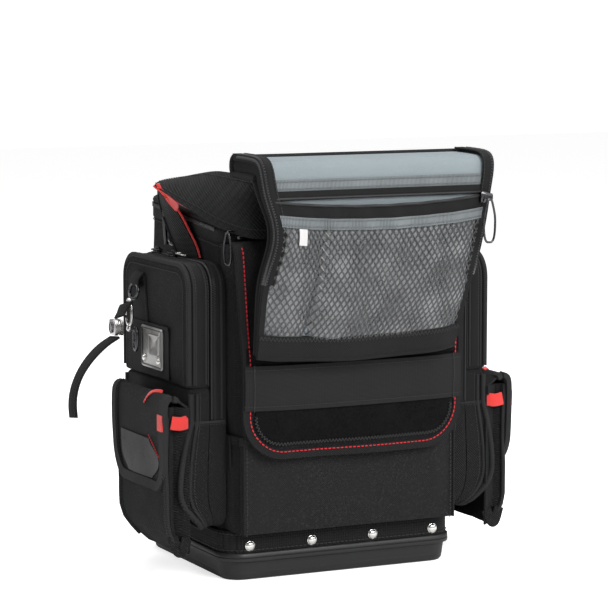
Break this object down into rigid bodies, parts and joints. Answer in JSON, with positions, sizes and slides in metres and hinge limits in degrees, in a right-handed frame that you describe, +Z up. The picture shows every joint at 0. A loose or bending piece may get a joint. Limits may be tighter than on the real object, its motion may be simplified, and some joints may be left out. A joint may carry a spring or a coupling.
{
  "type": "electrician tool pouch",
  "caption": "Tall fabric tool pouch on a moulded tray, with zipped side pockets, a flapped front pocket, a fold-over lid with a mesh pocket and a tether for tape.",
  "frame": {"origin": "centre of the moulded tray's underside", "axes": "+Z up; -Y towards the front face with the big flap; +X towards the right-hand side pocket seen from the front"},
  "size_m": [0.4023, 0.2688, 0.383],
  "materials": {
    "fabric": "heavy black polyester canvas",
    "lining": "cool grey lining cloth",
    "mesh": "grey diamond mesh over clear film",
    "webbing": "ribbed black webbing",
    "loop_pile": "matt black loop pile",
    "red_webbing": "red webbing",
    "plastic": "satin moulded plastic",
    "board": "smooth stiffener board",
    "nickel": "polished nickel",
    "steel": "satin steel",
    "black_steel": "black enamelled steel"
  },
  "bodies": {
    "bag": {"base_tray": "plastic", "base_band": "webbing", "base_rivet_1": "nickel", "base_rivet_2": "nickel", "base_rivet_3": "nickel", "base_rivet_4": "nickel", "front_wall": "fabric", "back_wall": "fabric", "left_wall": "fabric", "right_wall": "fabric", "floor_board": "board", "inner_divider": "board", "back_pad": "fabric", "front_lower_pocket": "fabric", "front_upper_pocket": "fabric", "front_flap_upper": "fabric", "lid_hinge_gusset": "fabric", "carry_strap": "webbing", "left_strap_ring": "black_steel", "corner_zip_slider": "steel", "left_pocket_shell": "fabric", "left_pocket_lower": "fabric", "left_pouch": "fabric", "left_red_tab": "red_webbing", "right_pocket_shell": "fabric", "right_pocket_lower": "fabric", "right_pouch": "fabric", "right_red_tab": "red_webbing"},
    "lid": {"lid_panel": "lining", "lid_mesh_pocket": "mesh"},
    "lid_slider": {"lid_zip_slider": "steel"},
    "lid_pull": {"lid_zip_pull": "steel"},
    "front_flap": {"front_flap_lower": "fabric", "flap_loop_patch": "loop_pile", "flap_strap": "webbing"},
    "corner_pull": {"corner_zip_pull": "steel"},
    "left_cover": {"left_pocket_cover": "fabric", "tether_loop": "webbing", "clip_plate": "steel", "clip_rivet_1": "nickel", "clip_rivet_2": "nickel"},
    "right_cover": {"right_pocket_cover": "fabric"},
    "tether": {"tether_ring": "black_steel"},
    "carabiner": {"carabiner": "black_steel"},
    "carabiner_gate": {"carabiner_gate": "steel"},
    "tape_strap": {"tether_webbing": "webbing", "strap_clip": "steel", "tape_strap": "webbing"},
    "snap_hook": {"snap_hook": "black_steel"},
    "right_ring": {"right_strap_ring": "black_steel"},
    "left_slider_rear": {"left_zip_slider_rear": "steel"},
    "left_slider_front": {"left_zip_slider_front": "steel"},
    "left_pull": {"left_zip_pull": "steel"},
    "left_flap": {"left_pouch_flap": "fabric"},
    "right_slider_rear": {"right_zip_slider_rear": "steel"},
    "right_slider_front": {"right_zip_slider_front": "steel"},
    "right_pull": {"right_zip_pull": "steel"},
    "right_flap": {"right_pouch_flap": "fabric"}
  },
  "joints": [
    {"name": "lid_hinge", "type": "hinge", "parent": "bag", "child": "lid", "pos_m": [0.01, -0.0865, 0.3775], "axis": [-1, 0, 0], "range_deg": [0, 170]},
    {"name": "lid_zip_slide", "type": "slide", "parent": "lid", "child": "lid_slider", "axis": [-1, 0, 0], "range_m": [0, 0.19]},
    {"name": "lid_zip_pull_swing", "type": "hinge", "parent": "lid_slider", "child": "lid_pull", "pos_m": [0.114, -0.1637, 0.344], "axis": [-1, 0, 0], "range_deg": [0, 100]},
    {"name": "front_flap_fold", "type": "hinge", "parent": "bag", "child": "front_flap", "pos_m": [0, -0.1205, 0.2035], "axis": [-1, 0, 0], "range_deg": [0, 60]},
    {"name": "corner_zip_pull_swing", "type": "hinge", "parent": "bag", "child": "corner_pull", "pos_m": [-0.116, -0.101, 0.3175], "axis": [0, 1, 0], "range_deg": [0, 70]},
    {"name": "left_cover_hinge", "type": "hinge", "parent": "bag", "child": "left_cover", "pos_m": [-0.152, 0.0563, 0.235], "axis": [0, 0, -1], "range_deg": [0, 75]},
    {"name": "left_zip_slide_rear", "type": "slide", "parent": "bag", "child": "left_slider_rear", "axis": [0, 1, 0], "range_m": [-0.004, 0.01]},
    {"name": "left_zip_slide_front", "type": "slide", "parent": "bag", "child": "left_slider_front", "axis": [0, 1, 0], "range_m": [-0.04, 0.01]},
    {"name": "left_zip_pull_flip", "type": "hinge", "parent": "left_slider_front", "child": "left_pull", "pos_m": [-0.13, -0.0205, 0.292], "axis": [-1, 0, 0], "range_deg": [0, 90]},
    {"name": "left_pouch_flap_lift", "type": "hinge", "parent": "bag", "child": "left_flap", "pos_m": [-0.1509, -0.036, 0.162], "axis": [0, 1, 0], "range_deg": [0, 40]},
    {"name": "right_cover_hinge", "type": "hinge", "parent": "bag", "child": "right_cover", "pos_m": [0.152, 0.0563, 0.235], "axis": [0, 0, 1], "range_deg": [0, 75]},
    {"name": "right_zip_slide_rear", "type": "slide", "parent": "bag", "child": "right_slider_rear", "axis": [0, 1, 0], "range_m": [-0.004, 0.01]},
    {"name": "right_zip_slide_front", "type": "slide", "parent": "bag", "child": "right_slider_front", "axis": [0, 1, 0], "range_m": [-0.04, 0.01]},
    {"name": "right_zip_pull_flip", "type": "hinge", "parent": "right_slider_front", "child": "right_pull", "pos_m": [0.13, -0.0205, 0.292], "axis": [-1, 0, 0], "range_deg": [0, 90]},
    {"name": "right_pouch_flap_lift", "type": "hinge", "parent": "bag", "child": "right_flap", "pos_m": [0.1509, -0.036, 0.162], "axis": [0, -1, 0], "range_deg": [0, 40]},
    {"name": "tether_ring_swing", "type": "hinge", "parent": "left_cover", "child": "tether", "pos_m": [-0.1588, 0.012, 0.2625], "axis": [0, 1, 0], "range_deg": [0, 50]},
    {"name": "carabiner_swing", "type": "hinge", "parent": "tether", "child": "carabiner", "pos_m": [-0.1648, 0.012, 0.2495], "axis": [1, 0, 0], "range_deg": [-20, 20]},
    {"name": "carabiner_gate_open", "type": "hinge", "parent": "carabiner", "child": "carabiner_gate", "pos_m": [-0.1648, 0.01849, 0.22567], "axis": [1, 0, 0], "range_deg": [0, 20]},
    {"name": "tape_strap_swing", "type": "hinge", "parent": "tether", "child": "tape_strap", "pos_m": [-0.1655, 0.012, 0.244], "axis": [0, 1, 0], "range_deg": [-10, 25]},
    {"name": "snap_hook_swing", "type": "hinge", "parent": "carabiner", "child": "snap_hook", "pos_m": [-0.16, 0.008, 0.222], "axis": [1, 0, 0], "range_deg": [-15, 15]},
    {"name": "right_strap_ring_swing", "type": "hinge", "parent": "bag", "child": "right_ring", "pos_m": [0.1175, 0.01, 0.296], "axis": [0, 1, 0], "range_deg": [0, 30]}
  ]
}
